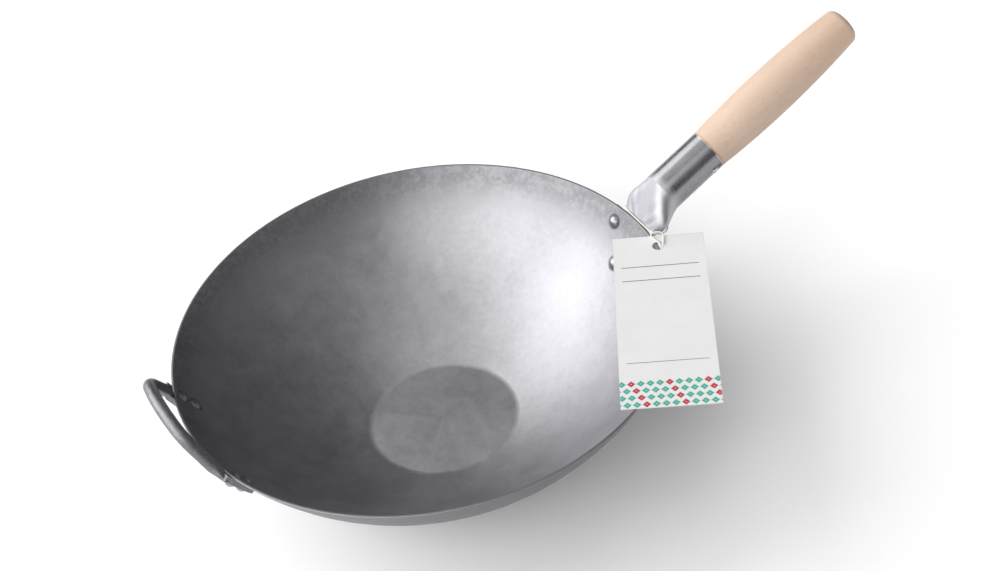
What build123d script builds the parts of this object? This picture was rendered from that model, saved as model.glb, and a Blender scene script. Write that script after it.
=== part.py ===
"""Carbon steel wok with a flat bottom, a socket handle with a wooden grip, a helper handle and a hang tag.

Units are millimetres and +Z is up. The origin is the middle of the underside of the flat bottom.
+X runs along the main handle, and +Y is to its left as seen from above the bowl.
"""
from build123d import *
from math import asin, atan2, cos, degrees, hypot, pi, radians, sin, sqrt, tan
import os

os.makedirs("parts", exist_ok=True)

# Bowl: one sheet with a round wall and a flat bottom
rim_inside_radius = 178.0
inner_depth = 102.0
flat_inside_radius = 55.7
wall = 1.8
flat_bend_radius = 12.0
rim_edge_radius = 0.5

# Main handle: the rise of its axis, and where the mouth of the socket lies from the rim
axis_rise_angle = 25.9
mouth_out_from_rim = 65.85
mouth_up_from_rim = 35.75

# Socket: a straight tube, a neck that flattens towards the rim, and a riveted flange
socket_sheet = 1.8
tube_radius = 15.8
tube_length = 45.5
facet_half_width = 18.0
facet_end_half_width = 3.0
neck_half_width = 23.5
neck_bottom_drop = 18.0
flange_half_width = 30.0
flange_top_below_rim = 2.5
flange_shoulder_below_rim = 16.0
flange_end_below_rim = 42.5
flange_end_half_width = 11.0
flange_corner_radius = 3.5
flange_shoulder_radius = 14.0
flange_end_radius = 8.0
seat_gap = 0.1

# Wooden grip with a tenon in the socket
grip_length = 136.5
grip_swell_radius = 18.05
grip_swell_share = 0.36
grip_end_radius = 14.1
grip_end_rounding = 5.5
grip_end_dome = 1.6
grip_shoulder_gap = 0.1
tenon_length = 38.0
tenon_clearance = 0.15

# Screw through the socket's side into the tenon
screw_from_mouth = 7.9
screw_turn_down = 18.7
screw_head_radius = 3.0
screw_head_height = 1.5
screw_shank_radius = 1.5
screw_length = 14.0
screw_clearance = 0.05

# Rivets of the main handle
handle_rivet_shank_radius = 2.6
handle_rivet_head_radius = 4.9
handle_rivet_head_height = 3.2
handle_rivet_tail_radius = 4.2
handle_rivet_tail_height = 2.4
upper_rivet_side = 20.9
upper_rivet_below_rim = 10.2
lower_rivet_side = 2.5
lower_rivet_below_rim = 32.0
rivet_clearance = 0.05

# Helper handle: a bent rod with two flattened ends
helper_turn = 183.1
helper_rod_radius = 4.4
helper_foot_side = 47.4
helper_lean_from_wall_angle = 3.3
helper_corner_side = 31.5
helper_corner_up = 32.5
helper_top_up = 40.4
helper_corner_radius = 21.0
helper_top_radius = 88.0
helper_tab_width = 14.0
helper_tab_thickness = 4.0
helper_tab_above_rim = 3.0
helper_tab_end_below_rim = 27.0
helper_tab_end_radius = 6.5
helper_neck_length = 8.0
helper_neck_overlap = 4.0

# Rivets of the helper handle
helper_rivet_shank_radius = 2.2
helper_rivet_head_radius = 4.6
helper_rivet_head_height = 1.9
helper_rivet_tail_radius = 3.8
helper_rivet_tail_height = 2.6
helper_upper_rivet_below_rim = 7.5
helper_lower_rivet_below_rim = 17.8

# Hang tag: a card that lies on the rim, with a round hole
tag_width = 66.0
tag_length = 171.6
tag_thickness = 0.5
tag_rest_gap = 0.3
tag_corner_radius = 0.8
tag_hole_radius = 4.6
tag_hole_from_edge = 11.4
tag_hole_out_from_rim = 1.2
tag_hole_turn = -11.0
tag_long_axis_turn = -119.7

# String of the tag: hitched through the card's hole and tied round the socket's neck
string_radius = 0.6
string_rim_gap = 0.2
string_inside_rim_edge = 0.4
string_fall_angle = 20.6
arc_run_share = 0.45

# Part of the wall's round that is a base for riveted pieces, from its horizontal
shell_start_angle = -80.0
shell_angle = 70.0

# One overrun for cuts that pass right through
overrun = 10.0

quarter_turn = 90.0

# Sizes that follow from the ones above
sphere_height = wall + (rim_inside_radius**2 + inner_depth**2 - flat_inside_radius**2) / (2 * inner_depth)
inner_sphere_radius = hypot(flat_inside_radius, sphere_height - wall)
outer_sphere_radius = inner_sphere_radius + wall
seat_sphere_radius = outer_sphere_radius + seat_gap
rim_height = wall + inner_depth
rim_outside_radius = sqrt(outer_sphere_radius**2 - (sphere_height - rim_height) ** 2)
flat_outside_radius = sqrt(outer_sphere_radius**2 - sphere_height**2)
rim_slope_angle = degrees(atan2(rim_outside_radius, sphere_height - rim_height))
helper_slope_angle = rim_slope_angle + helper_lean_from_wall_angle
helper_foot_reach = rim_outside_radius + seat_gap + helper_tab_thickness / 2
helper_half_angle = degrees(asin(helper_foot_side / helper_foot_reach))


def radial(turn):
    return Vector(cos(radians(turn)), sin(radians(turn)), 0)


def wall_plane(turn, below_rim, sphere_radius):
    """Plane square to the wall at a turn about Z and a depth below the rim; its Z points outwards."""
    drop = sphere_height - rim_height + below_rim
    reach = sqrt(sphere_radius**2 - drop**2)
    outward = radial(turn) * reach - Vector(0, 0, drop)
    return Plane(origin=Vector(0, 0, sphere_height) + outward, x_dir=radial(turn + quarter_turn), z_dir=outward)


def side_turn(side, below_rim):
    """Turn about Z, in degrees, of a place at a sideways distance from the main handle's middle."""
    drop = sphere_height - rim_height + below_rim
    return degrees(atan2(side, sqrt(inner_sphere_radius**2 - drop**2)))


# Places of the seven rivets, each on the bowl's inner surface
upper_turn = side_turn(upper_rivet_side, upper_rivet_below_rim)
lower_turn = side_turn(lower_rivet_side, lower_rivet_below_rim)
handle_rivet_places = {
    "handle_rivet_left": wall_plane(upper_turn, upper_rivet_below_rim, inner_sphere_radius),
    "handle_rivet_right": wall_plane(-upper_turn, upper_rivet_below_rim, inner_sphere_radius),
    "handle_rivet_lower": wall_plane(lower_turn, lower_rivet_below_rim, inner_sphere_radius),
}
helper_rivet_places = {}
for side_name, side in (("left", 1), ("right", -1)):
    tab_turn = helper_turn + side * helper_half_angle
    for level_name, below_rim in (("upper", helper_upper_rivet_below_rim), ("lower", helper_lower_rivet_below_rim)):
        rivet_place = wall_plane(tab_turn, below_rim, inner_sphere_radius)
        helper_rivet_places["helper_rivet_" + side_name + "_" + level_name] = rivet_place

# Bowl: the wall's section turned about Z, with its rivet holes
with BuildPart() as wok_bowl:
    with BuildSketch(Plane.XZ) as section:
        with BuildLine():
            inner_start = degrees(atan2(wall - sphere_height, flat_inside_radius))
            inner_end = degrees(atan2(rim_height - sphere_height, rim_inside_radius))
            outer_start = degrees(atan2(-sphere_height, flat_outside_radius))
            outer_end = degrees(atan2(rim_height - sphere_height, rim_outside_radius))
            Line((0, wall), (flat_inside_radius, wall))
            CenterArc((0, sphere_height), inner_sphere_radius, inner_start, inner_end - inner_start)
            Line((rim_inside_radius, rim_height), (rim_outside_radius, rim_height))
            CenterArc((0, sphere_height), outer_sphere_radius, outer_start, outer_end - outer_start)
            Line((flat_outside_radius, 0), (0, 0))
            Line((0, 0), (0, wall))
        make_face()
        fillet(section.vertices().sort_by_distance((flat_outside_radius, 0))[0], flat_bend_radius + wall)
        fillet(section.vertices().sort_by_distance((flat_inside_radius, wall))[0], flat_bend_radius)
        fillet(section.vertices().sort_by_distance((rim_inside_radius, rim_height))[0], rim_edge_radius)
        fillet(section.vertices().sort_by_distance((rim_outside_radius, rim_height))[0], rim_edge_radius)
    revolve(axis=Axis.Z)
    for place in handle_rivet_places.values():
        with BuildSketch(place):
            Circle(handle_rivet_shank_radius + rivet_clearance)
        extrude(amount=overrun, both=True, mode=Mode.SUBTRACT)
    for place in helper_rivet_places.values():
        with BuildSketch(place):
            Circle(helper_rivet_shank_radius + rivet_clearance)
        extrude(amount=overrun, both=True, mode=Mode.SUBTRACT)

# Main handle's axis, from the middle of the socket's mouth towards the end of the grip
axis_direction = Vector(cos(radians(axis_rise_angle)), 0, sin(radians(axis_rise_angle)))
mouth_centre = Vector(rim_inside_radius + mouth_out_from_rim, 0, rim_height + mouth_up_from_rim)


def axis_plane(along):
    """Plane square to the handle's axis at a distance from the mouth; its Y points up."""
    return Plane(origin=mouth_centre + axis_direction * along, x_dir=(0, 1, 0), z_dir=axis_direction)


# Place of the grip's screw on the socket, on the right and a little below the axis
screw_angle = radians(screw_turn_down)
screw_out = axis_plane(0).from_local_coords(Vector(-cos(screw_angle), -sin(screw_angle))) - mouth_centre
screw_plane = Plane(
    mouth_centre - axis_direction * screw_from_mouth + screw_out * tube_radius,
    x_dir=axis_direction,
    z_dir=screw_out,
)

# The neck's facet stands on the wall's outer edge at the rim
facet_foot = axis_plane(0).to_local_coords(Vector(rim_outside_radius + seat_gap, 0, rim_height))
neck_length = -facet_foot.Z - tube_length

# Outlines of the neck: shares of its length, of its widest half width, and of the height to the widest place
neck_shares = ((0, 0.785, 0.88), (0.2, 0.94, 0.8), (0.42, 1.0, 0.72), (0.7, 0.83, 0.6), (0.88, 0.71, 0.54))


def neck_section(along, facet_half, half_width, top, level, bottom, shoulder_shares):
    """Outline square to the axis, alike on both sides: the facet's flat line, a shoulder and a belly."""
    belly_turn = radians(quarter_turn / 2)
    out_share, up_share = shoulder_shares
    shoulder = (facet_half + (half_width - facet_half) * out_share, level + (top - level) * up_share)
    belly = (half_width * sin(belly_turn), level - (level - bottom) * cos(belly_turn))
    with BuildSketch(axis_plane(along)) as outline:
        with BuildLine():
            Line((-facet_half, top), (facet_half, top))
            for side in (1, -1):
                ThreePointArc((side * facet_half, top), (side * shoulder[0], shoulder[1]), (side * half_width, level))
                ThreePointArc((side * half_width, level), (side * belly[0], belly[1]), (0, bottom))
        make_face()
    return outline.sketch


def neck_sections(inset):
    """The neck's outlines from its foot at the rim to the tube, drawn in by the inset."""
    round_half = tube_radius - inset
    end_top = sqrt(round_half**2 - facet_end_half_width**2)
    # Middle of the shoulder's arc, set so that it lies on the tube's circle at the end
    end_share = facet_end_half_width / round_half
    shoulder_turn = (asin(end_share) + radians(quarter_turn)) / 2
    shoulder_shares = ((sin(shoulder_turn) - end_share) / (1 - end_share), cos(shoulder_turn) * round_half / end_top)
    foot_top, foot_bottom, foot_facet = facet_foot.Y - inset, inset - neck_bottom_drop, facet_half_width - inset
    sections = []
    for along_share, width_share, level_share in neck_shares:
        top = foot_top + (end_top - foot_top) * along_share
        bottom = foot_bottom + (-round_half - foot_bottom) * along_share
        sections.append(
            neck_section(
                facet_foot.Z + neck_length * along_share,
                foot_facet + (facet_end_half_width - foot_facet) * along_share,
                neck_half_width * width_share - inset,
                top,
                bottom + (top - bottom) * level_share,
                bottom,
                shoulder_shares,
            )
        )
    tube_end = neck_section(-tube_length, facet_end_half_width, round_half, end_top, 0, -round_half, shoulder_shares)
    return sections + [tube_end]


def wall_shell(thickness):
    """Section of a shell that lies on the wall's outer face, to turn about Z."""
    with BuildSketch(Plane.XZ) as outline:
        with BuildLine():
            inside = CenterArc((0, sphere_height), seat_sphere_radius, shell_start_angle, shell_angle)
            outside = CenterArc((0, sphere_height), seat_sphere_radius + thickness, shell_start_angle, shell_angle)
            Line(inside @ 0, outside @ 0)
            Line(inside @ 1, outside @ 1)
        make_face()
    return outline.sketch


# Flange of the socket: a shield that follows the wall below the rim
flange_plane = wall_plane(0, (flange_top_below_rim + flange_end_below_rim) / 2, seat_sphere_radius)
flange_steepness = sqrt(1 - flange_plane.z_dir.Z**2)
flange_top = (flange_end_below_rim - flange_top_below_rim) / 2 / flange_steepness
flange_shoulder = flange_top - (flange_shoulder_below_rim - flange_top_below_rim) / flange_steepness

with BuildPart() as socket_flange:
    with BuildSketch(flange_plane) as shield:
        with BuildLine():
            Polyline(
                (-flange_half_width, flange_top),
                (flange_half_width, flange_top),
                (flange_half_width, flange_shoulder),
                (flange_end_half_width, -flange_top),
                (-flange_end_half_width, -flange_top),
                (-flange_half_width, flange_shoulder),
                close=True,
            )
        make_face()
        fillet(shield.vertices().group_by(Axis.Y)[-1], flange_corner_radius)
        fillet(shield.vertices().group_by(Axis.Y)[0], flange_end_radius)
        for side in (1, -1):
            shoulder_corner = (side * flange_half_width, flange_shoulder)
            fillet(shield.vertices().sort_by_distance(shoulder_corner)[0], flange_shoulder_radius)
    extrude(amount=overrun, both=True)
    revolve(wall_shell(socket_sheet), axis=Axis.Z, mode=Mode.INTERSECT)

# Socket: a tube and a hollow neck that ends on the wall, with the flange around its root
with BuildPart() as handle_socket:
    outer_sections = neck_sections(0)
    loft(outer_sections)
    with BuildSketch(axis_plane(0)):
        Circle(tube_radius)
    extrude(amount=-tube_length)
    extrude(outer_sections[0], amount=-neck_length)
    inner_sections = neck_sections(socket_sheet)
    loft(inner_sections, mode=Mode.SUBTRACT)
    with BuildSketch(axis_plane(0)):
        Circle(tube_radius - socket_sheet)
    extrude(amount=-tube_length, mode=Mode.SUBTRACT)
    extrude(inner_sections[0], amount=-neck_length, mode=Mode.SUBTRACT)
    with Locations((0, 0, sphere_height)):
        Sphere(seat_sphere_radius, mode=Mode.SUBTRACT)
    add(socket_flange.part)
    for place in handle_rivet_places.values():
        with BuildSketch(place):
            Circle(handle_rivet_shank_radius + rivet_clearance)
        extrude(amount=overrun, mode=Mode.SUBTRACT)
    with BuildSketch(screw_plane):
        Circle(screw_shank_radius + screw_clearance)
    extrude(amount=-tube_radius, mode=Mode.SUBTRACT)


def half_dome(radius, seat, height):
    """Arc about a centre on the axis, from the edge of a dome's seat to its top."""
    dome_radius = (radius**2 + height**2) / (2 * height)
    half_turn = asin(radius / dome_radius) / 2
    middle = (dome_radius * sin(half_turn), seat + height - dome_radius * (1 - cos(half_turn)))
    ThreePointArc((radius, seat), middle, (0, seat + height))


# Grip: a turned handle whose tenon fills the tube
with BuildPart() as wooden_grip:
    with BuildSketch(Plane(origin=mouth_centre, x_dir=axis_direction, z_dir=(0, -1, 0))) as grip_section:
        with BuildLine():
            tenon_radius = tube_radius - socket_sheet - tenon_clearance
            swell_along = grip_length * grip_swell_share
            end_corner = (grip_length - grip_end_dome, grip_end_radius)
            Polyline((-tenon_length, 0), (-tenon_length, tenon_radius), (grip_shoulder_gap, tenon_radius))
            Line((grip_shoulder_gap, tenon_radius), (grip_shoulder_gap, tube_radius))
            ThreePointArc((grip_shoulder_gap, tube_radius), (swell_along, grip_swell_radius), end_corner)
            dome_radius = (grip_end_radius**2 + grip_end_dome**2) / (2 * grip_end_dome)
            dome_angle = degrees(asin(grip_end_radius / dome_radius))
            CenterArc((grip_length - dome_radius, 0), dome_radius, 0, dome_angle)
            Line((grip_length, 0), (-tenon_length, 0))
        make_face()
        fillet(grip_section.vertices().sort_by_distance(end_corner)[0], grip_end_rounding)
    revolve(axis=Axis(mouth_centre, axis_direction))
    with BuildSketch(screw_plane):
        Circle(screw_shank_radius + screw_clearance)
    extrude(amount=-(screw_length + screw_clearance), mode=Mode.SUBTRACT)


# Screw: a domed head on the socket and a plain shank into the tenon
with BuildPart() as grip_screw:
    with BuildSketch(Plane(screw_plane.origin, x_dir=screw_plane.x_dir, z_dir=-screw_plane.y_dir)):
        with BuildLine():
            half_dome(screw_head_radius, 0, screw_head_height)
            Polyline((screw_head_radius, 0), (screw_shank_radius, 0), (screw_shank_radius, -screw_length))
            Polyline((screw_shank_radius, -screw_length), (0, -screw_length), (0, screw_head_height))
        make_face()
    revolve(axis=Axis(screw_plane.origin, screw_plane.z_dir))


def make_rivet(place, grip, head_radius, head_height, tail_radius, tail_height, shank_radius):
    """Rivet with a domed head inside the bowl and a domed tail on the outermost piece that it holds."""
    head_seat = sqrt(inner_sphere_radius**2 - head_radius**2) - inner_sphere_radius
    tail_seat = wall + seat_gap + grip
    with BuildPart() as rivet:
        with BuildSketch(Plane(place.origin, x_dir=place.x_dir, z_dir=-place.y_dir)):
            with BuildLine():
                half_dome(tail_radius, tail_seat, tail_height)
                Polyline((tail_radius, tail_seat), (shank_radius, tail_seat), (shank_radius, head_seat))
                Line((shank_radius, head_seat), (head_radius, head_seat))
                half_dome(head_radius, head_seat, -head_height)
                Line((0, head_seat - head_height), (0, tail_seat + tail_height))
            make_face()
        revolve(axis=Axis(place.origin, place.z_dir))
    return rivet.part


rivets = {}
for name, place in handle_rivet_places.items():
    rivets[name] = make_rivet(
        place,
        socket_sheet,
        handle_rivet_head_radius,
        handle_rivet_head_height,
        handle_rivet_tail_radius,
        handle_rivet_tail_height,
        handle_rivet_shank_radius,
    )
for name, place in helper_rivet_places.items():
    rivets[name] = make_rivet(
        place,
        helper_tab_thickness,
        helper_rivet_head_radius,
        helper_rivet_head_height,
        helper_rivet_tail_radius,
        helper_rivet_tail_height,
        helper_rivet_shank_radius,
    )

# Plane of the helper handle's loop: X runs along the rim and Y slopes up and outwards
helper_middle = radial(helper_turn) * helper_foot_reach * cos(radians(helper_half_angle)) + Vector(0, 0, rim_height)
helper_sideways = radial(helper_turn + quarter_turn)
helper_slope = radial(helper_turn) * cos(radians(helper_slope_angle)) + Vector(0, 0, sin(radians(helper_slope_angle)))
loop_plane = Plane(helper_middle, x_dir=helper_sideways, z_dir=helper_sideways.cross(helper_slope))
leg_lean = Vector(helper_corner_side - helper_foot_side, helper_corner_up).normalized()
leg_start = Vector(helper_foot_side, 0) + leg_lean * helper_neck_length
tab_top_below_rim = -helper_tab_above_rim
tab_middle_below_rim = (tab_top_below_rim + helper_tab_end_below_rim) / 2

# Room that the wall takes up to its rim, which cuts the seats of the helper handle
with BuildPart() as wall_seat:
    with Locations((0, 0, sphere_height)):
        Sphere(seat_sphere_radius)
    split(bisect_by=Plane.XY.offset(rim_height + seat_gap), keep=Keep.BOTTOM)

# Two flattened ends that follow the wall
with BuildPart() as helper_tabs:
    for side in (1, -1):
        tab_plane = wall_plane(helper_turn + side * helper_half_angle, tab_middle_below_rim, seat_sphere_radius)
        tab_steepness = sqrt(1 - tab_plane.z_dir.Z**2)
        tab_length = (helper_tab_end_below_rim - tab_top_below_rim) / tab_steepness
        with BuildSketch(tab_plane) as strip:
            Rectangle(helper_tab_width, tab_length)
            fillet(strip.vertices().group_by(Axis.Y)[0], helper_tab_end_radius)
        extrude(amount=overrun, both=True)
    revolve(wall_shell(helper_tab_thickness), axis=Axis.Z, mode=Mode.INTERSECT)

# Helper handle: the round rod, a neck on each leg that flattens it, and the tabs
with BuildPart() as helper_handle:
    with BuildLine(loop_plane) as rod_path:
        FilletPolyline(
            (-leg_start.X, leg_start.Y),
            (-helper_corner_side, helper_corner_up),
            (0, helper_top_up),
            (helper_corner_side, helper_corner_up),
            (leg_start.X, leg_start.Y),
            radius=[helper_corner_radius, helper_top_radius, helper_corner_radius],
        )
    with BuildSketch(Plane(rod_path.line @ 0, z_dir=rod_path.line % 0)):
        Circle(helper_rod_radius)
    sweep()
    for side in (1, -1):
        leg_direction = loop_plane.from_local_coords(Vector(side * leg_lean.X, leg_lean.Y)) - loop_plane.origin
        leg_across = leg_direction.cross(loop_plane.z_dir)
        top_centre = loop_plane.from_local_coords(Vector(side * leg_start.X, leg_start.Y))
        foot_centre = top_centre - leg_direction * (helper_neck_length + helper_neck_overlap)
        with BuildSketch(Plane(top_centre, x_dir=leg_across, z_dir=leg_direction)):
            Ellipse(helper_rod_radius, helper_rod_radius)
        with BuildSketch(Plane(foot_centre, x_dir=leg_across, z_dir=leg_direction)):
            Ellipse(helper_tab_width / 2, helper_tab_thickness / 2)
        loft()
    add(helper_tabs.part)
    add(wall_seat.part, mode=Mode.SUBTRACT)
    for place in helper_rivet_places.values():
        with BuildSketch(place):
            Circle(helper_rivet_shank_radius + rivet_clearance)
        extrude(amount=overrun, both=True, mode=Mode.SUBTRACT)

# Hang tag: its plane lies on the rim with its origin at the hole and Y towards the nearer edge
tag_centre_reach = rim_inside_radius + tag_hole_out_from_rim
tag_origin = radial(tag_hole_turn) * tag_centre_reach + Vector(0, 0, rim_height + tag_rest_gap)
tag_plane = Plane(tag_origin, x_dir=radial(tag_long_axis_turn + quarter_turn), z_dir=(0, 0, 1))

with BuildPart() as hang_tag:
    with BuildSketch(tag_plane):
        with Locations((0, tag_hole_from_edge - tag_length / 2)):
            RectangleRounded(tag_width, tag_length, tag_corner_radius)
        Circle(tag_hole_radius, mode=Mode.SUBTRACT)
    extrude(amount=tag_thickness)

# Route of the string on the card: X across it, Y from the hole towards the nearer edge, Z up
hitch_route = [
    (1.4, 14.35, -1.45),
    (1.8, 10.6, -1.1),
    (1.8, 0.6, -1.1),
    (1.8, 0.6, 1.6),
    (-5.4, 9.6, 1.6),
    (-4.3, 11.5, 3.8),
    (2.4, 11.7, 4.0),
    (4.4, 10.1, 1.6),
    (3.4, -0.8, 1.6),
    (3.4, -0.8, -1.1),
    (3.4, 10.6, -1.1),
    (3.0, 15.2, -2.1),
]
hitch_points = [tag_plane.from_local_coords(Vector(*point)) for point in hitch_route]

# Route of the string round the neck, in a plane that falls from the facet's foot to under the neck
loop_route = [
    (-20.8, 10.7),
    (-15.2, 17.9),
    (-6.6, 21.7),
    (6.6, 21.7),
    (15.2, 17.9),
    (20.8, 10.7),
    (21.4, 3.6),
    (18.8, 0),
    (-18.8, 0),
    (-21.3, 3.8),
]
loop_front = Vector(
    rim_outside_radius - string_inside_rim_edge,
    0,
    rim_height + string_radius + string_rim_gap,
)
loop_normal = Vector(-sin(radians(string_fall_angle)), 0, -cos(radians(string_fall_angle)))
string_plane = Plane(loop_front, x_dir=(0, 1, 0), z_dir=loop_normal)
loop_points = [string_plane.from_local_coords(Vector(*point)) for point in loop_route]


def corner_radii(points, closed):
    """Radius of the arc at each corner of a route, from the corner's turn and its shorter run."""
    corners = range(len(points)) if closed else range(1, len(points) - 1)
    corner_list = []
    for index in corners:
        before = points[index] - points[index - 1]
        after = points[(index + 1) % len(points)] - points[index]
        half_turn = radians(before.get_angle(after) / 2)
        corner_list.append(arc_run_share * min(before.length, after.length) / tan(half_turn))
    return corner_list


def report_tube(name, tube, path):
    """Print a tube's volume beside its section times its length."""
    length = sum(edge.length for edge in path.edges())
    print(name, "length", round(length, 1), "volume", round(tube.volume, 1), round(pi * string_radius**2 * length, 1))


hitch_radii = corner_radii(hitch_points, False)
loop_radii = corner_radii(loop_points, True)
print("hitch radii", [round(radius, 1) for radius in hitch_radii])
print("loop radii", [round(radius, 1) for radius in loop_radii])

with BuildPart() as tag_string:
    with BuildLine() as hitch_path:
        FilletPolyline(*hitch_points, radius=hitch_radii)
    with BuildSketch(Plane(hitch_path.line @ 0, z_dir=hitch_path.line % 0)):
        Circle(string_radius)
    sweep()
report_tube("tag_string", tag_string.part, hitch_path)

with BuildPart() as tag_string_loop:
    with BuildLine() as loop_path:
        FilletPolyline(*loop_points, radius=loop_radii, close=True)
    with BuildSketch(Plane(loop_path.line @ 0, z_dir=loop_path.line % 0)):
        Circle(string_radius)
    sweep()
report_tube("tag_string_loop", tag_string_loop.part, loop_path)

wok_bowl.part.label = "wok_bowl"
export_step(wok_bowl.part, "parts/wok_bowl.step")
handle_socket.part.label = "handle_socket"
export_step(handle_socket.part, "parts/handle_socket.step")
wooden_grip.part.label = "wooden_grip"
export_step(wooden_grip.part, "parts/wooden_grip.step")
grip_screw.part.label = "grip_screw"
export_step(grip_screw.part, "parts/grip_screw.step")
helper_handle.part.label = "helper_handle"
export_step(helper_handle.part, "parts/helper_handle.step")
hang_tag.part.label = "hang_tag"
export_step(hang_tag.part, "parts/hang_tag.step")
tag_string.part.label = "tag_string"
export_step(tag_string.part, "parts/tag_string.step")
tag_string_loop.part.label = "tag_string_loop"
export_step(tag_string_loop.part, "parts/tag_string_loop.step")
for name, rivet in rivets.items():
    rivet.label = name
    export_step(rivet, "parts/" + name + ".step")
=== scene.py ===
"""Carbon steel wok with a flat bottom, a beech grip in a socket, a helper handle and a hang tag.

Metres, +Z up, origin in the middle of the underside of the flat bottom, +X along the main handle.
"""

from math import cos, pi, radians, sin

import bpy
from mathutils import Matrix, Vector


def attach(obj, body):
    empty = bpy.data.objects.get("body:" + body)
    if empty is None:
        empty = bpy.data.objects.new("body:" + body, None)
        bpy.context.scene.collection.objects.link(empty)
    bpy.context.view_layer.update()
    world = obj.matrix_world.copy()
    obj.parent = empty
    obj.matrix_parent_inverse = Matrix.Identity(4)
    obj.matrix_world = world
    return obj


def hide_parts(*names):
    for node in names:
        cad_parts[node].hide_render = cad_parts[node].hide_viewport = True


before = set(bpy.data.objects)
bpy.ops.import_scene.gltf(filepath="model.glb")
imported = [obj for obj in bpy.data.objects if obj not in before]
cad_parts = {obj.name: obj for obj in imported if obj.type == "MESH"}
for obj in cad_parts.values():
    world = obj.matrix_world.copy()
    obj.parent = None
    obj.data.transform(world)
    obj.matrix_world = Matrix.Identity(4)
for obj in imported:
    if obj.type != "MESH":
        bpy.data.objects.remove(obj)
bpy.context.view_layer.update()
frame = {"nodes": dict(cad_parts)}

# Bowl: its rim, how far down the ground edge and the stain go, the middle and radius of the ball
# that its inner face lies on, and the sheet's thickness
RIM_HEIGHT = 0.1038
GRIND_DEPTH = 0.0005
STAIN_DEPTH = 0.019
SPHERE_HEIGHT = 0.1929
INNER_RADIUS = 0.19906
SHEET = 0.0018

# Main handle: the middle of the socket's mouth, the slope of the axis, distances along it from
# the mouth, and the place of the screw
MOUTH = Vector((0.24385, 0, 0.13955))
AXIS_RISE = radians(25.9)
NECK_START = -0.042
GRIP_LENGTH = 0.1365
END_DEPTH = 0.0024
SCREW_PLACE = (0.2435, -0.01497, 0.1322)

# Helper handle: the way it points
HELPER_TURN = radians(183.1)

# Places of the rivets on the bowl's inner face, and how far out the darker ring round them goes,
# partly grime and partly painted shade
HANDLE_RIVETS = [
    (0.17127, 0.02075, 0.0936),
    (0.17127, -0.02075, 0.0936),
    (0.15796, 0.0025, 0.0718),
]
HELPER_RIVETS = [
    (-0.16534, -0.05436, 0.0963),
    (-0.15951, -0.05245, 0.086),
    (-0.17024, 0.03619, 0.0963),
    (-0.16424, 0.03491, 0.086),
]
HANDLE_GRIME_AND_SHADE = 0.0062
HELPER_GRIME_AND_SHADE = 0.0057

# Card of the tag: the place of its hole, and the way its short and long sides run
HOLE_OUT = 0.1792
HOLE_TURN = radians(-11)
CARD_TURN = radians(-29.7)
CARD_HOLE = Vector((HOLE_OUT * cos(HOLE_TURN), HOLE_OUT * sin(HOLE_TURN), 0.1041))
CARD_ACROSS = Vector((cos(CARD_TURN), sin(CARD_TURN), 0))
CARD_UP = Vector((-sin(CARD_TURN), cos(CARD_TURN), 0))
CARD_WIDTH = 0.066
CARD_THICKNESS = 0.0005
HOLE_FROM_EDGE = 0.0114

STRING_RADIUS = 0.0006
STRING_STEP = 0.00022


# Camera at the photograph's angle

camera_data = bpy.data.cameras.new("camera")
camera_data.sensor_width = 36
camera_data.lens = 53.45
camera = bpy.data.objects.new("camera", camera_data)
camera.location = (-0.23618, -0.74908, 0.80099)
camera.rotation_euler = (radians(48.657), radians(7.3585), radians(-28.1859))
bpy.context.scene.collection.objects.link(camera)
bpy.context.scene.camera = camera
bpy.context.scene.view_settings.view_transform = "Standard"


# The tag's string: two routes, and strands laid round each

def card_point(across, up, above):
    """Point of the card's own frame, in millimetres from the hole's middle on its underside."""
    return CARD_HOLE + (CARD_ACROSS * across + CARD_UP * up + Vector((0, 0, above))) / 1000


HITCH = [
    (1.4, 14.35, -1.45),
    (1.8, 10.6, -1.1),
    (1.8, 0.6, -1.1),
    (1.8, 0.6, 1.6),
    (-5.4, 9.6, 1.6),
    (-4.3, 11.5, 3.8),
    (2.4, 11.7, 4.0),
    (4.4, 10.1, 1.6),
    (3.4, -0.8, 1.6),
    (3.4, -0.8, -1.1),
    (3.4, 10.6, -1.1),
    (3.0, 15.2, -2.1),
]
LOOP_FRONT = Vector((0.17961, 0, 0.1046))
LOOP_FALL = radians(20.6)
LOOP = [
    (0.0, 21.7),
    (6.6, 21.7),
    (15.2, 17.9),
    (20.8, 10.7),
    (21.4, 3.6),
    (18.8, 0),
    (-18.8, 0),
    (-21.3, 3.8),
    (-20.8, 10.7),
    (-15.2, 17.9),
    (-6.6, 21.7),
    (-0.9, 21.7),
]


def loop_point(sideways, down):
    """Point of the plane that slopes from the facet's foot to under the neck."""
    return LOOP_FRONT + Vector((down * cos(LOOP_FALL), sideways, -down * sin(LOOP_FALL))) / 1000


def spline_points(points):
    """Points of the smooth curve that has these as its control points."""
    curve = bpy.data.curves.new("route", "CURVE")
    curve.dimensions = "3D"
    spline = curve.splines.new("NURBS")
    spline.points.add(len(points) - 1)
    for place, point in zip(spline.points, points):
        place.co = (*point, 1)
    spline.order_u = 3
    spline.use_endpoint_u = True
    spline.resolution_u = 24
    holder = bpy.data.objects.new("route", curve)
    bpy.context.scene.collection.objects.link(holder)
    mesh = bpy.data.meshes.new_from_object(holder)
    line = [vertex.co.copy() for vertex in mesh.vertices]
    bpy.data.objects.remove(holder)
    bpy.data.meshes.remove(mesh)
    bpy.data.curves.remove(curve)
    return line


def resample(line, step):
    """The same line with points at an even step."""
    spaced = [line[0]]
    left = step
    for start, end in zip(line, line[1:]):
        run = (end - start).length
        gone = 0.0
        while run - gone >= left:
            gone += left
            spaced.append(start.lerp(end, gone / run))
            left = step
        left -= run - gone
    spaced.append(line[-1])
    return spaced


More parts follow.
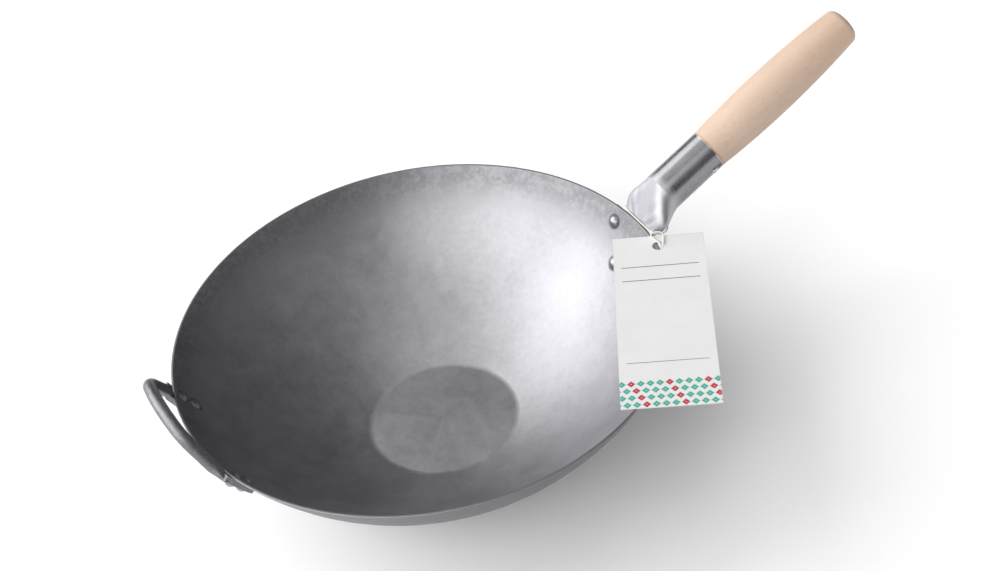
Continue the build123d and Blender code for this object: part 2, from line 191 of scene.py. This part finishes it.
def directions(line, reach):
    """The way a line runs at each of its points, from those up to a reach before and after."""
    last = len(line) - 1
    runs = range(len(line))
    return [(line[min(i + reach, last)] - line[max(i - reach, 0)]).normalized() for i in runs]


def square_to(direction, side):
    """The part of a side that is square to a direction."""
    return (side - direction * side.dot(direction)).normalized()


def around(across, up, angle):
    return across * cos(angle) + up * sin(angle)


def twisted_string(name, line, strands=3, pitch=0.0034, strand_radius=0.00036, sides=7):
    """String of twisted strands along a line, as one mesh."""
    spaced = resample(line, STRING_STEP)
    lay_radius = STRING_RADIUS - strand_radius
    tangents = directions(spaced, 2)
    side = tangents[0].orthogonal().normalized()
    frames = []
    for tangent in tangents:
        side = square_to(tangent, side)
        frames.append((side, tangent.cross(side)))
    vertices = []
    faces = []
    for strand in range(strands):
        first = len(vertices)
        centres = []
        travelled = 0.0
        for index, point in enumerate(spaced):
            if index:
                travelled += (point - spaced[index - 1]).length
            turn = 2 * pi * (travelled / pitch + strand / strands)
            centres.append(point + around(*frames[index], turn) * lay_radius)
        for centre, direction, (side, _) in zip(centres, directions(centres, 1), frames):
            across = square_to(direction, side)
            up = direction.cross(across)
            for corner in range(sides):
                angle = 2 * pi * corner / sides
                vertices.append(centre + around(across, up, angle) * strand_radius)
        last = first + (len(centres) - 1) * sides
        for low in range(first, last, sides):
            high = low + sides
            for corner in range(sides):
                following = (corner + 1) % sides
                faces.append((low + corner, low + following, high + following, high + corner))
        faces.append([first + corner for corner in reversed(range(sides))])
        faces.append([last + corner for corner in range(sides)])
    mesh = bpy.data.meshes.new(name)
    mesh.from_pydata(vertices, [], faces)
    mesh.polygons.foreach_set("use_smooth", [True] * len(mesh.polygons))
    piece = bpy.data.objects.new(name, mesh)
    bpy.context.scene.collection.objects.link(piece)
    return piece


hitch_line = spline_points([card_point(*place) for place in HITCH])
hitch_string = twisted_string("hitch_string", hitch_line)
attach(hitch_string, "tag")
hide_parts("tag_string")

loop_line = spline_points([loop_point(*place) for place in LOOP])
loop_string = twisted_string("loop_string", loop_line)
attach(loop_string, "wok")
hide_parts("tag_string_loop")


# Materials: a class for a value with Python's arithmetic, one for a tree's nodes, and one for a finish

class Shade:
    """A number or colour that a material or the studio works out at each point."""

    def __init__(self, nodes, socket):
        self.nodes = nodes
        self.socket = socket

    def maths(self, operation, *others):
        values = dict(enumerate((self, *others)))
        return self.nodes.node("ShaderNodeMath", {"operation": operation}, values)

    def __add__(self, other):
        return self.maths("ADD", other)

    __radd__ = __add__

    def __sub__(self, other):
        return self.maths("SUBTRACT", other)

    def __rsub__(self, other):
        return self.nodes.node("ShaderNodeMath", {"operation": "SUBTRACT"}, {0: other, 1: self})

    def __mul__(self, other):
        return self.maths("MULTIPLY", other)

    __rmul__ = __mul__

    def __truediv__(self, other):
        return self.maths("DIVIDE", other)

    def __pow__(self, other):
        return self.maths("POWER", other)

    def __abs__(self):
        return self.maths("ABSOLUTE")

    def root(self):
        return self.maths("SQRT")

    def part(self):
        return self.maths("FRACT")

    def floor(self):
        return self.maths("FLOOR")

    def most(self, other):
        return self.maths("MAXIMUM", other)

    def above(self, edge, soft=0.0001):
        """1 where this is over an edge, with a soft step."""
        return self.nodes.node(
            "ShaderNodeMapRange",
            {"interpolation_type": "SMOOTHSTEP"},
            {"Value": self, "From Min": edge - soft, "From Max": edge + soft},
        )

    def below(self, edge, soft=0.0001):
        return 1 - self.above(edge, soft)

    def between(self, low, high, soft=0.0001):
        return self.above(low, soft) * self.below(high, soft)


class Nodes:
    """The nodes of a material or of the studio round the wok."""

    def __init__(self, tree):
        self.tree = tree

    def node(self, kind, settings=(), sockets=(), output=0):
        """One node of any type, its settings made first and then its sockets, as its output."""
        made = self.tree.nodes.new(kind)
        for name, value in dict(settings).items():
            setattr(made, name, value)
        for name, value in dict(sockets).items():
            self.link(value, made.inputs[name])
        return Shade(self, made.outputs[output])

    def link(self, value, socket):
        if isinstance(value, Shade):
            self.tree.links.new(value.socket, socket)
        else:
            socket.default_value = value

    def split(self, vector):
        made = self.node("ShaderNodeSeparateXYZ", (), {0: vector}).socket.node
        return [Shade(self, made.outputs[index]) for index in range(3)]

    def join(self, x, y, z):
        return self.node("ShaderNodeCombineXYZ", (), {0: x, 1: y, 2: z})

    def noise(self, place, scale, detail=3.0, roughness=0.5, distortion=0.0):
        sockets = {"Vector": place, "Scale": scale, "Detail": detail, "Roughness": roughness}
        sockets["Distortion"] = distortion
        return self.node("ShaderNodeTexNoise", {"noise_dimensions": "3D"}, sockets)

    def mix(self, amount, first, second):
        """Colour between two others."""
        settings = {"data_type": "RGBA", "blend_type": "MIX"}
        return self.node("ShaderNodeMix", settings, {0: amount, 6: first, 7: second}, output=2)

    def dot(self, vector, direction):
        sockets = {0: vector, 1: tuple(direction)}
        return self.node("ShaderNodeVectorMath", {"operation": "DOT_PRODUCT"}, sockets, "Value")

    def seen(self):
        """1 for rays from the camera, and for those that metal and glass send on."""
        rays = self.tree.nodes.new("ShaderNodeLightPath").outputs
        seen = Shade(self, rays["Is Camera Ray"]).most(Shade(self, rays["Is Glossy Ray"]))
        return seen.most(Shade(self, rays["Is Transmission Ray"]))


class Finish(Nodes):
    """A material on a Principled shader, and the nodes that feed it."""

    def __init__(self, name, **settings):
        self.material = bpy.data.materials.new(name)
        self.material.use_nodes = True
        super().__init__(self.material.node_tree)
        self.shader = self.tree.nodes["Principled BSDF"]
        for socket, value in settings.items():
            self.set(socket.replace("_", " ").title().replace("Ior", "IOR"), value)
        place = self.tree.nodes.new("ShaderNodeTexCoord")
        self.place = Shade(self, place.outputs["Object"])
        self.x, self.y, self.z = self.split(self.place)

    def set(self, name, value):
        self.link(value, self.shader.inputs[name])

    def distance(self, place):
        sockets = {0: self.place, 1: place}
        return self.node("ShaderNodeVectorMath", {"operation": "DISTANCE"}, sockets, "Value")

    def bump(self, height, distance, strength=1.0, normal=None):
        sockets = {"Height": height, "Distance": distance, "Strength": strength}
        if normal is not None:
            sockets["Normal"] = normal
        return self.node("ShaderNodeBump", (), sockets)


def grey(level):
    """Grey of bare steel, with a slight blue."""
    return (level, level * 0.995, level * 1.05, 1)


def round_marks(finish, places, reach, soft):
    """1 close round each of some places."""
    marks = None
    for place in places:
        mark = finish.distance(place).below(reach, soft)
        marks = mark if marks is None else marks.most(mark)
    return marks


def steel(name, dark, light, rough, streaks, streaked, stains):
    """Bare carbon steel between two greys: clouds, patches, speckles, streaks and dark flecks.

    streaks gives the place that the streaks' noise reads, and streaked and stains say how strongly
    the streaks and the flecks show.
    """
    finish = Finish(name, metallic=1.0)
    clouds = finish.noise(finish.place, 14, detail=5, roughness=0.62, distortion=0.6)
    finish.patches = finish.noise(finish.place, 70, detail=5, roughness=0.68, distortion=0.3)
    finish.speckles = finish.noise(finish.place, 260, roughness=0.65)
    finish.grain = finish.noise(finish.place, 900, detail=2, roughness=0.6)
    finish.lines = finish.noise(streaks(finish), 1.0, detail=4, roughness=0.65)
    flecks = finish.noise(finish.place, 260, detail=4, roughness=0.75).above(0.66, 0.05)
    flecks = flecks * clouds.above(0.56, 0.06)
    tone = 0.5 + (clouds - 0.5) * 1.1 + (finish.patches - 0.5) * 0.9
    tone = tone + (finish.speckles - 0.5) * 0.6 + (finish.lines - 0.5) * streaked
    tone = tone + (finish.grain - 0.5) * 0.3 - flecks * stains
    finish.colour = finish.mix(tone, grey(dark), grey(light))
    finish.rough = rough + (finish.patches - 0.5) * 0.16 + (clouds - 0.5) * 0.12 + flecks * 0.12
    return finish


# Bowl: spun sheet with faint rings, a ground rim, a stained edge, a darker ring round each rivet that
# is partly grime and partly painted shade, and painted shade on its outside

def spun_lines(finish):
    radius = (finish.x * finish.x + finish.y * finish.y).root()
    angle = finish.node("ShaderNodeMath", {"operation": "ARCTAN2"}, {0: finish.y, 1: finish.x})
    return finish.join(radius * 620, angle * 2.2, finish.z * 300)


bowl = steel(
    "bowl_steel", dark=0.3, light=0.47, rough=0.46, streaks=spun_lines, streaked=0.15, stains=0.35
)
rim_grind = bowl.z.above(RIM_HEIGHT - GRIND_DEPTH, 0.0002)
blotches = (bowl.patches * 0.5 + bowl.speckles * 0.5).above(0.48, 0.1)
rim_stain = bowl.z.above(RIM_HEIGHT - STAIN_DEPTH, 0.015) * blotches
# Painted shade: the bowl's outside is darkened to stand in for the shadowed floor that it mirrors
shaded_outside = bowl.distance((0, 0, SPHERE_HEIGHT)).above(INNER_RADIUS + SHEET / 2, 0.0003)
# Darker ring round each rivet: partly grime, partly painted shade where the heads meet the bowl
grime_and_painted_shade = round_marks(bowl, HANDLE_RIVETS, HANDLE_GRIME_AND_SHADE, 0.0012)
grime_and_painted_shade = grime_and_painted_shade.most(round_marks(bowl, HELPER_RIVETS, HELPER_GRIME_AND_SHADE, 0.001))
dirt_and_painted_shade = (grime_and_painted_shade * 0.7).most(rim_stain * 0.35).most(shaded_outside * 0.55)
colour = bowl.mix(dirt_and_painted_shade, bowl.colour, grey(0.05))
bowl.set("Base Color", bowl.mix(rim_grind, colour, grey(0.28)))
bowl.set("Roughness", bowl.rough + grime_and_painted_shade * 0.15 - rim_grind * 0.04)
wobble = bowl.noise(bowl.place, 26, detail=2)
height = bowl.speckles * 0.4 + bowl.patches * 0.4 + bowl.grain * 0.2
bowl.set("Normal", bowl.bump(height, 0.00013, 0.8, bowl.bump(wobble, 0.0012, 0.4)))


# Socket: drawn lines along the tube, a ground mouth, a paler neck and a dark ring round the screw

def handle_frame(finish):
    """Distance along the main handle's axis from the mouth, and up square to it."""
    out = finish.x - MOUTH.x
    up = finish.z - MOUTH.z
    along = out * cos(AXIS_RISE) + up * sin(AXIS_RISE)
    square = up * cos(AXIS_RISE) - out * sin(AXIS_RISE)
    return along, square


def drawn_lines(finish):
    along, square = handle_frame(finish)
    return finish.join(along * 28, finish.y * 520, square * 520)


socket = steel(
    "socket_steel", dark=0.2, light=0.32, rough=0.27, streaks=drawn_lines, streaked=0.3, stains=0.06
)
along, square = handle_frame(socket)
mouth_edge = along.above(-0.0005, 0.0002)
screw_ring = socket.distance(SCREW_PLACE).below(0.0044, 0.0006)
neck = along.below(NECK_START, 0.004)
colour = socket.mix(neck * 0.55, socket.colour, grey(0.6))
colour = socket.mix(screw_ring * 0.75, colour, grey(0.04))
socket.set("Base Color", socket.mix(mouth_edge, colour, grey(0.5)))
socket.set("Roughness", socket.rough + neck * 0.2)
height = socket.lines * 0.3 + socket.patches * 0.4 + socket.grain * 0.3
socket.set("Normal", socket.bump(height, 0.00002, 0.8))


# Helper handle: hot-bent rod with a dull skin

def rod_lines(finish):
    across = finish.x * sin(HELPER_TURN) - finish.y * cos(HELPER_TURN)
    return finish.join(across * 40, finish.z * 700, finish.x * 700)


rod = steel(
    "rod_steel", dark=0.15, light=0.33, rough=0.5, streaks=rod_lines, streaked=1.3, stains=0.4
)
rod.set("Base Color", rod.colour)
rod.set("Roughness", rod.rough)
dents = rod.noise(rod.place, 170, roughness=0.6)
scratches = rod.bump(rod.lines * 0.6 + rod.grain * 0.4, 0.0001, 0.8)
rod.set("Normal", rod.bump(dents, 0.0003, 0.5, scratches))


# Rivets and the screw: small forged heads with no direction to their marks

def even_marks(finish):
    return finish.join(finish.x * 300, finish.y * 300, finish.z * 300)


def fastener(name, dark, light, rough):
    finish = steel(name, dark, light, rough, streaks=even_marks, streaked=0.4, stains=0.3)
    finish.set("Base Color", finish.colour)
    finish.set("Roughness", finish.rough)
    finish.set("Normal", finish.bump(finish.grain * 0.5 + finish.patches * 0.5, 0.00012, 0.8))
    return finish


rivet = fastener("rivet_steel", dark=0.26, light=0.5, rough=0.34)
screw = fastener("screw_steel", dark=0.35, light=0.62, rough=0.22)


# Grip: pale beech with grain along it, short darker flecks, a darker end and a shade at the socket

PALE_RING = (0.61, 0.45, 0.34, 1)
DARK_RING = (0.5, 0.34, 0.235, 1)
PINK_BEECH = (0.66, 0.51, 0.41, 1)
PORE_BROWN = (0.5, 0.34, 0.24, 1)
FLECK_BROWN = (0.46, 0.29, 0.19, 1)
END_BROWN = (0.42, 0.27, 0.16, 1)
JOINT_BROWN = (0.3, 0.18, 0.1, 1)

beech = Finish("beech", specular_ior_level=0.35)
along, square = handle_frame(beech)


def beech_grain(along_scale, flat_scale, upright_scale, **settings):
    """Noise that is drawn out along the grip."""
    place = beech.join(along * along_scale, beech.y * flat_scale, square * upright_scale)
    return beech.noise(place, 1.0, **settings)


rings = beech_grain(9, 120, 260, detail=4, roughness=0.55, distortion=0.5)
pores = beech_grain(55, 1500, 1500, detail=2)
fleck = beech_grain(240, 1300, 420, detail=1, roughness=0.4).above(0.64, 0.04)
blush = beech.noise(beech.place, 22, detail=2)
end_face = along.above(GRIP_LENGTH - END_DEPTH, 0.0008)
end_rings = beech_grain(10, 420, 900)
joint_shade = along.below(0.0012, 0.0008)
colour = beech.mix(rings, PALE_RING, DARK_RING)
colour = beech.mix(blush, colour, PINK_BEECH)
colour = beech.mix(pores.above(0.58, 0.08) * 0.22, colour, PORE_BROWN)
colour = beech.mix(fleck * 0.2, colour, FLECK_BROWN)
colour = beech.mix(end_face * end_rings * 0.6, colour, END_BROWN)
colour = beech.mix(joint_shade * 0.5, colour, JOINT_BROWN)
beech.set("Base Color", colour)
beech.set("Roughness", 0.46 + (rings - 0.5) * 0.16 + fleck * 0.12 + end_face * 0.15)
beech.set("Normal", beech.bump(pores * 0.6 + rings * 0.4, 0.00012, 0.6))


# Card: matt off-white stock with three plain printed rules and a band of small diamonds

WHITE_PAPER = (0.77, 0.77, 0.765, 1)
GREY_PAPER = (0.7, 0.7, 0.7, 1)
WORN_PAPER = (0.62, 0.61, 0.58, 1)
BLACK_INK = (0.06, 0.06, 0.065, 1)
TEAL_INK = (0.03, 0.38, 0.28, 1)
RED_INK = (0.47, 0.02, 0.035, 1)
PALE_INK = (0.5, 0.56, 0.55, 1)

# Down from the top edge: the start and end of each rule, and the start of the band.
# Across: the rules' margin, the width of a cell, and the column on the card's middle line.
RULES = [(0.0328, 0.0335), (0.0474, 0.0481), (0.1298, 0.1303)]
BAND_START = 0.1464
MARGIN = 0.0055
CELL = 0.0063
MIDDLE_COLUMN = 20.5

card = Finish("tag_card", specular_ior_level=0.3)
sockets = {0: card.place, 1: CARD_HOLE[:]}
from_hole = card.node("ShaderNodeVectorMath", {"operation": "SUBTRACT"}, sockets)
across = card.dot(from_hole, CARD_ACROSS)
down = HOLE_FROM_EDGE - card.dot(from_hole, CARD_UP)
fibre = card.noise(card.place, 800, roughness=0.6)
cloud = card.noise(card.place, 60, roughness=0.6)
paper = card.mix(cloud, WHITE_PAPER, GREY_PAPER)
top_face = card.z.above(CARD_HOLE.z + CARD_THICKNESS * 0.8, 0.00005)
ink = top_face * (1 - card.noise(card.place, 2600, detail=1).above(0.62, 0.05) * 0.3)
upper_rule, middle_rule, lower_rule = [down.between(start, end) for start, end in RULES]
rules = upper_rule.most(middle_rule).most(lower_rule)
rules = rules * abs(across).below(CARD_WIDTH / 2 - MARGIN)

# Rows of diamonds, each half a cell along from the last. A diamond has a red heart and a pale outline.
band = down.above(BAND_START)
row = (down - BAND_START) / CELL
column = across / CELL + MIDDLE_COLUMN + row.floor() * 0.5
from_middle = abs(column.part() - 0.5) + abs(row.part() - 0.5)
diamond = band * from_middle.below(0.43, 0.02) * from_middle.above(0.09, 0.02)
heart = band * from_middle.below(0.05, 0.015)
outline = band * from_middle.between(0.47, 0.5, 0.012)
every_fourth = ((column.floor() + row.floor() * 3) / 4).part().below(0.12, 0.01)
printed = card.mix(ink * rules, paper, BLACK_INK)
printed = card.mix(ink * diamond, printed, card.mix(every_fourth, TEAL_INK, RED_INK))
printed = card.mix(ink * heart, printed, RED_INK)
printed = card.mix(ink * outline, printed, PALE_INK)
edge_wear = abs(across).above(CARD_WIDTH / 2 - 0.0004, 0.0003)
card.set("Base Color", card.mix(edge_wear * 0.4, printed, WORN_PAPER))
card.set("Roughness", 0.55 + (cloud - 0.5) * 0.2 - top_face * diamond * 0.08)
card.set("Normal", card.bump(fibre, 0.00003, 0.6))


# String: off-white cotton

cotton = Finish("cotton", specular_ior_level=0.2, sheen_weight=0.3)
fuzz = cotton.noise(cotton.place, 2400, roughness=0.7)
cotton.set("Base Color", cotton.mix(fuzz, (0.86, 0.85, 0.81, 1), (0.68, 0.66, 0.6, 1)))
cotton.set("Roughness", 0.75 + (fuzz - 0.5) * 0.3)
cotton.set("Normal", cotton.bump(fuzz, 0.00008, 0.7))


def finish_piece(piece, finish):
    piece.data.materials.clear()
    piece.data.materials.append(finish.material)


nodes = frame["nodes"]
finish_piece(nodes["wok_bowl"], bowl)
finish_piece(nodes["handle_socket"], socket)
finish_piece(nodes["wooden_grip"], beech)
finish_piece(nodes["grip_screw"], screw)
finish_piece(nodes["helper_handle"], rod)
finish_piece(nodes["hang_tag"], card)
finish_piece(hitch_string, cotton)
finish_piece(loop_string, cotton)
for name, node in nodes.items():
    if "rivet" in name:
        finish_piece(node, rivet)


# Floor: plain white, with the object's shadow

FLOOR_REACH = 14
FLOOR_GLOW = 0.06

corners = [(-1, -1, 0), (1, -1, 0), (1, 1, 0), (-1, 1, 0)]
floor_mesh = bpy.data.meshes.new("floor")
floor_mesh.from_pydata([Vector(corner) * FLOOR_REACH for corner in corners], [], [(0, 1, 2, 3)])
floor = bpy.data.objects.new("floor", floor_mesh)
bpy.context.scene.collection.objects.link(floor)
white = Finish("floor_white", specular_ior_level=0.0, roughness=1.0)
white.set("Base Color", (0.96, 0.96, 0.965, 1))
matt = Shade(white, white.shader.outputs[0])
glow = white.node("ShaderNodeEmission", (), {"Color": (1, 1, 1, 1), "Strength": FLOOR_GLOW})
lifted = white.node("ShaderNodeAddShader", (), {0: matt, 1: glow})
surface = white.node("ShaderNodeMixShader", (), {0: white.seen(), 1: matt, 2: lifted})
white.link(surface, white.tree.nodes["Material Output"].inputs["Surface"])
finish_piece(floor, white)


# Light: three low wide lamps on the helper handle's side, a weak one overhead, and a dim studio

LAMP_SPREAD = radians(56)
STUDIO_LEVEL = 0.07


def towards(azimuth, elevation):
    azimuth, elevation = radians(azimuth), radians(elevation)
    return Vector((cos(azimuth) * cos(elevation), sin(azimuth) * cos(elevation), sin(elevation)))


def soft_lamp(name, azimuth, elevation, power):
    data = bpy.data.lights.new(name, "SUN")
    data.energy = power
    data.angle = LAMP_SPREAD
    lamp = bpy.data.objects.new(name, data)
    lamp.rotation_euler = towards(azimuth, elevation).to_track_quat("Z", "Y").to_euler()
    bpy.context.scene.collection.objects.link(lamp)


soft_lamp("key_lamp", 126, 28, 2.1)
soft_lamp("back_lamp", 172, 29, 1.45)
soft_lamp("side_lamp", 217, 34, 1.25)
soft_lamp("top_lamp", 110, 75, 0.62)

world = bpy.data.worlds.new("studio")
bpy.context.scene.world = world
world.use_nodes = True
studio = Nodes(world.node_tree)
view = Shade(studio, studio.tree.nodes.new("ShaderNodeTexCoord").outputs["Generated"])


def wall_glow(azimuth, elevation, tightness, strength):
    """Broad glow of the studio round one direction."""
    return studio.dot(view, towards(azimuth, elevation)).most(0) ** tightness * strength


level = STUDIO_LEVEL + wall_glow(-40, 22, 4, 0.16) + wall_glow(-85, 58, 6, 0.34)
horizon = studio.split(view)[2].most(0).below(0.02, 0.02)
backdrop = studio.tree.nodes["Background"]
studio.link((1, 1, 1, 1), backdrop.inputs["Color"])
studio.link(level.most(horizon * studio.seen()), backdrop.inputs["Strength"])
